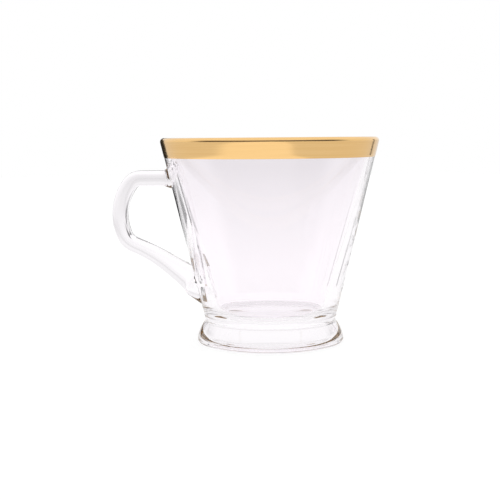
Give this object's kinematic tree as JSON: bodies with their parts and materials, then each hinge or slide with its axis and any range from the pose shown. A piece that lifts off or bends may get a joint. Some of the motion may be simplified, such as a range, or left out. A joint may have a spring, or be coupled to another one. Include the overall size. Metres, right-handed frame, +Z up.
{
  "type": "coffee cup",
  "caption": "Clear pressed-glass coffee cup with a leaning thick wall, a flared foot, a finger handle and a gold band round the rim, for serving a small hot drink.",
  "frame": {"origin": "centre of the foot's resting ring, on the cup's axis, at table level", "axes": "+Z up the cup's axis, -X towards the handle, Y across the handle"},
  "size_m": [0.086, 0.0702, 0.0661],
  "materials": {
    "clear_glass": "clear, smooth, fire-polished pressed glass",
    "gold": "bright fired gold film with a soft brushed sheen"
  },
  "bodies": {
    "root": {"bowl": "clear_glass", "foot": "clear_glass", "handle": "clear_glass", "gold_band": "gold"}
  },
  "joints": []
}
